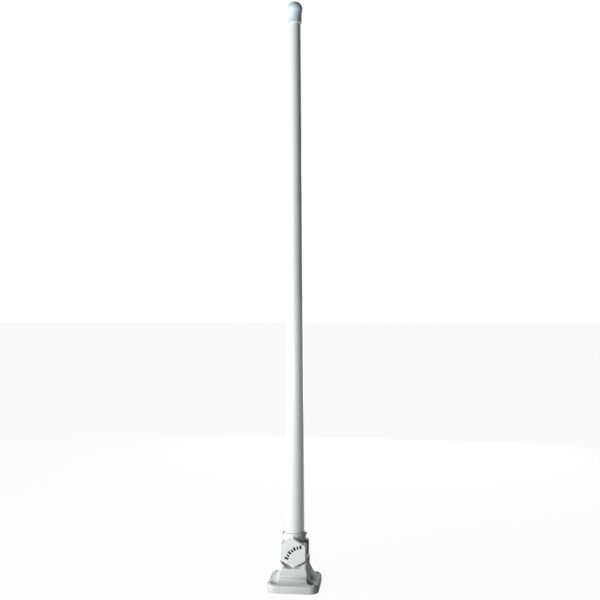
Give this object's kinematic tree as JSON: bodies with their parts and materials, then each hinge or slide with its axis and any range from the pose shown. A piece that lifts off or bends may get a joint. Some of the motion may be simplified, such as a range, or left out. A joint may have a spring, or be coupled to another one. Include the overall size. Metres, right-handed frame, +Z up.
{
  "type": "omnidirectional antenna",
  "caption": "Slim tapered whip antenna with a rounded tip cap on a white folding ratchet mount with a coved rectangular base.",
  "frame": {"origin": "centre of the base's underside", "axes": "+Z up along the mast, -Y the front with the cover plate, +X right, the way the mast folds down"},
  "size_m": [0.078, 0.08, 0.9],
  "materials": {
    "base_nylon": "white moulded nylon, fine satin",
    "head_nylon": "white moulded nylon, fine satin",
    "gasket_rubber": "matt black rubber",
    "ring_steel": "machined stainless teeth",
    "bush_bronze": "turned bronze",
    "stainless": "stainless steel, satin",
    "knob_plastic": "black moulded plastic",
    "brass": "turned brass",
    "mast_glassfibre": "white coated glass fibre, semi-gloss",
    "cap_plastic": "bluish white soft plastic",
    "holder_plastic": "natural nylon",
    "socket_white": "white fluoropolymer",
    "coax_jacket": "black cable jacket",
    "ferrite": "sintered ferrite, matt",
    "copper_wire": "enamelled copper wire",
    "foam": "closed-cell foam"
  },
  "bodies": {
    "base": {"base_body": "base_nylon", "base_gasket": "gasket_rubber", "tongue_ring_front": "ring_steel", "tongue_ring_rear": "ring_steel", "pivot_bush": "bush_bronze"},
    "mast": {"clamp_spring": "stainless", "clamp_washer": "stainless", "coax_socket": "brass", "coil_former": "holder_plastic", "collar_screws": "stainless", "feed_coax": "coax_jacket", "feed_insulator": "holder_plastic", "ferrite_beads": "ferrite", "foot_seal": "gasket_rubber", "front_cover": "head_nylon", "head_ring_front": "ring_steel", "head_ring_rear": "ring_steel", "lower_radiator": "brass", "mast_tube": "mast_glassfibre", "phasing_coil": "copper_wire", "pivot_bolt": "stainless", "screw_inserts": "brass", "socket_holder": "holder_plastic", "socket_insulator": "socket_white", "socket_pin": "brass", "spacer_discs": "foam", "swivel_head": "head_nylon", "tip_cap": "cap_plastic", "tip_damper": "foam", "top_radiator": "brass", "upper_radiator": "brass"},
    "knob": {"clamp_knob": "knob_plastic", "knob_insert": "brass", "knob_cap": "knob_plastic"}
  },
  "joints": [
    {"name": "mast_fold", "type": "hinge", "parent": "base", "child": "mast", "pos_m": [0, 0, 0.0565], "axis": [0, 1, 0], "range_deg": [0, 90]},
    {"name": "knob_turn", "type": "hinge", "parent": "mast", "child": "knob", "pos_m": [0, 0.032, 0.0565], "axis": [0, 1, 0], "range_deg": [0, 540]}
  ]
}
